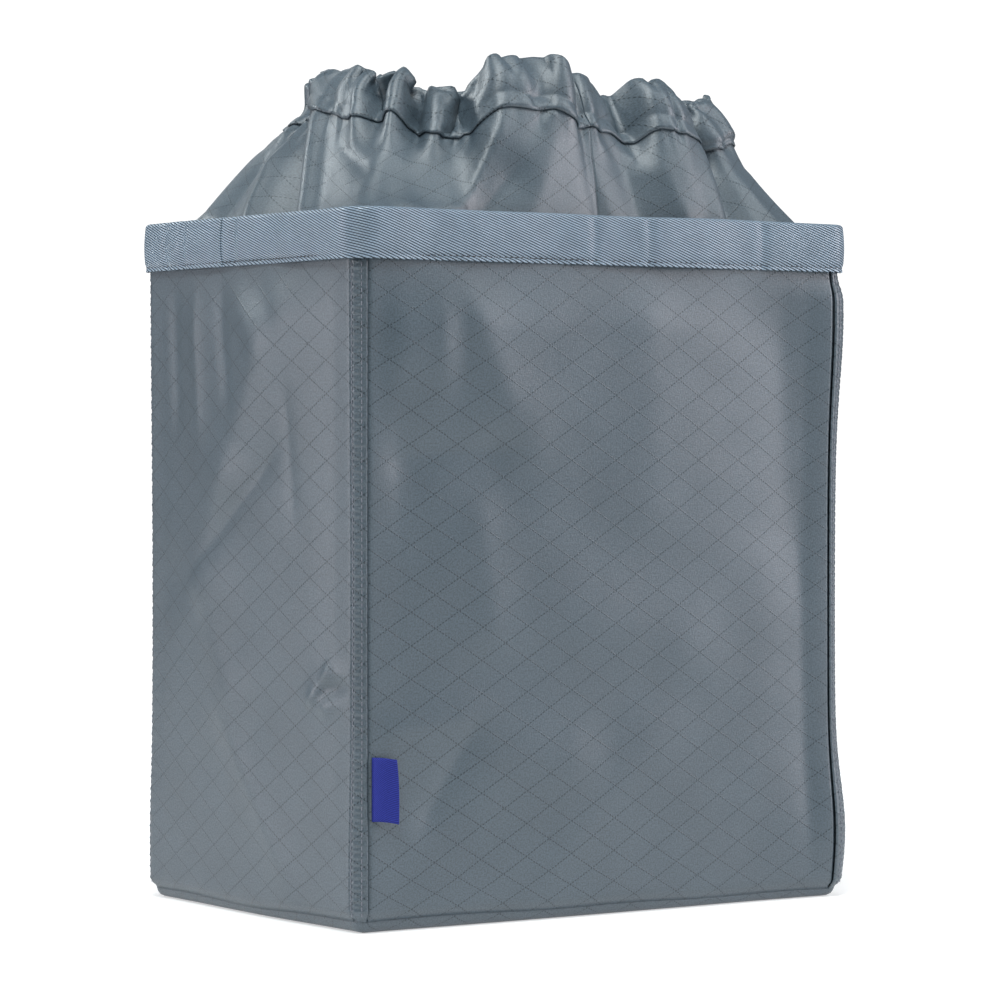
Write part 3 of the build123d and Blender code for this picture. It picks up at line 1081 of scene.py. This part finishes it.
ROOM_COLOUR, ROOM_LIGHT = (0.97, 0.985, 1.0, 1), 0.20
PAPER, PAPER_GLOW = (1, 1, 1, 1), 1.1           # the white background that the camera sees
FLOOR, FLOOR_GREY, FLOOR_GLOW = 1.5, (0.62,) * 3, 0.50
LIT_PLACE = Vector((0, 0, 0.2))
COOL, ROSE = (0.93, 0.99, 1.0), (0.99, 0.95, 1.0)
LIGHTS = (
    ("key", (-1.35, -1.35, 2.45), (0.8, 0.8), 38, COOL),
    ("left_sheen", (-2.1, 1.3, 0.5), (0.5, 0.9), 16, ROSE),
    ("front_sheen", (2.1, -1.3, 0.8), (0.5, 1.0), 29, ROSE),
    ("collar_left", (-1.1, 1.75, 1.65), (0.45, 0.45), 22, COOL),
    ("collar_front", (1.3, -1.2, 1.95), (0.7, 0.7), 15, COOL),
    ("top", (-0.3, -0.4, 2.2), (1.2, 1.2), 28, COOL),
    ("back", (0.8, 2.4, 1.4), (1.2, 1.2), 4, COOL),
)


def area_light(name, place, size, power, colour):
    data = bpy.data.lights.new(name, "AREA")
    data.shape, data.size, data.size_y = "RECTANGLE", *size
    data.energy, data.color = power, colour
    obj = new_object(name, data)
    obj.location = place
    obj.rotation_euler = (LIT_PLACE - Vector(place)).to_track_quat("-Z", "Y").to_euler()


def studio():
    scene = bpy.context.scene
    scene.view_settings.view_transform = "Standard"
    world = bpy.data.worlds.new("studio")
    world.use_nodes = True
    tree = world.node_tree
    room = tree.nodes["Background"]
    white = tree.nodes.new("ShaderNodeBackground")
    for node, colour, glow in ((room, ROOM_COLOUR, ROOM_LIGHT), (white, PAPER, PAPER_GLOW)):
        node.inputs["Color"].default_value = colour
        node.inputs["Strength"].default_value = glow
    path, mix = tree.nodes.new("ShaderNodeLightPath"), tree.nodes.new("ShaderNodeMixShader")
    tree.links.new(path.outputs["Is Camera Ray"], mix.inputs[0])
    tree.links.new(room.outputs[0], mix.inputs[1])
    tree.links.new(white.outputs[0], mix.inputs[2])
    tree.links.new(mix.outputs[0], tree.nodes["World Output"].inputs["Surface"])
    scene.world = world

    angle = np.linspace(0, 2 * pi, 65)[:-1]
    disc = np.column_stack([FLOOR * np.cos(angle), FLOOR * np.sin(angle), np.zeros(64)])
    mesh = bpy.data.meshes.new("floor")
    mesh.from_pydata(disc.tolist(), [], [tuple(range(64))])
    paint = Nodes("floor_paint", FLOOR_GREY, 0.9)
    paint.set("Emission Color", PAPER)
    paint.set("Emission Strength", FLOOR_GLOW)
    floor = new_object("floor", mesh, paint.material)
    floor.location.z = -0.3 * MM

    for light in LIGHTS:
        area_light(*light)


CAMERA_AZIMUTH, CAMERA_ELEVATION = radians(-34.51), radians(0.79)
CAMERA_DISTANCE, CAMERA_LENS = 2.1172, 145.3    # metres, mm on a 36 mm sensor
AIM_RIGHT, AIM_UP = 0.67 * MM, 211.87 * MM


def camera():
    """A view from below the rim, with the front to the right of the near corner."""
    right = Vector((cos(CAMERA_AZIMUTH), sin(CAMERA_AZIMUTH), 0))
    level = Vector((sin(CAMERA_AZIMUTH), -cos(CAMERA_AZIMUTH), 0))
    back = level * cos(CAMERA_ELEVATION) + Vector((0, 0, sin(CAMERA_ELEVATION)))
    data = bpy.data.cameras.new("camera")
    data.sensor_width, data.lens = 36.0, CAMERA_LENS
    data.clip_end = 100
    obj = new_object("camera", data)
    obj.matrix_world = Matrix((right, back.cross(right), back)).transposed().to_4x4()
    obj.location = right * AIM_RIGHT + Vector((0, 0, AIM_UP)) + back * CAMERA_DISTANCE
    bpy.context.scene.camera = obj


# ------------ the bag

def stand_for(piece, slot, *nodes):
    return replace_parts(piece, *nodes)


def bend_with_rim(piece):
    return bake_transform(piece)


camera()
studio()
ripstop, webbing = ripstop_material(), webbing_material()
thread = fine_cloth_material("thread", "thread", 0.25 * MM, gain=0.95)
# A near-black copy of the same thread slot: painted shade on the rim and hem stitches.
shaded_thread = fine_cloth_material("shaded_thread", "thread", 0.25 * MM, gain=0.16)
tape = fine_cloth_material("binding_tape", "binding_tape", 0.9 * MM)
ribbon = fine_cloth_material("flag_ribbon", "flag_ribbon", 0.45 * MM, 0.7, gain=0.95, gloss=0.1)
rubber = fine_cloth_material("elastic", "elastic", 0.6 * MM)

seams = {}
for name in WEB_SPANS:
    seams[name], stitches = make_seam(name, ripstop, thread)
    stand_for(seams[name], "ripstop", f"corner_seam_{name}")
    stand_for(stitches, "thread", f"corner_thread_{name}")
    bend_with_rim(seams[name])
    bend_with_rim(stitches)

for side in SIDES:
    panel = make_panel(side, ripstop)
    stand_for(panel, "ripstop", f"{side}_panel")
    bend_with_rim(panel)

base = make_bottom(ripstop)
stand_for(base, "ripstop", "bottom_panel")
binding = make_binding(tape)
stand_for(binding, "binding_tape", "bottom_seam_binding")
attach(binding, "bag")

for name in WEB_SPANS:
    stand_for(make_webbing(name, webbing), "webbing", f"rim_webbing_{name}")
# The rim stitches use the shaded thread copy, which is painted shade.
stand_for(make_rim_stitches(shaded_thread), "thread", "rim_thread")

# The hem stitches use the shaded thread copy, which is painted shade.
collar, fine, hem_row, hem_length = make_collar(ripstop, shaded_thread)
for node, piece in collar.items():
    stand_for(piece, "thread" if node == "hem_thread" else "ripstop", node)
    if node.startswith("skirt"):
        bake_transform(piece)
    else:
        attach(piece, "collar")
elastic = make_elastic(fine, rubber)
stand_for(elastic, "elastic", "elastic_cord")
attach(elastic, "collar")

flag = make_flag(ribbon)
stand_for(flag, "flag_ribbon", "side_flag")
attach(flag, "flag")
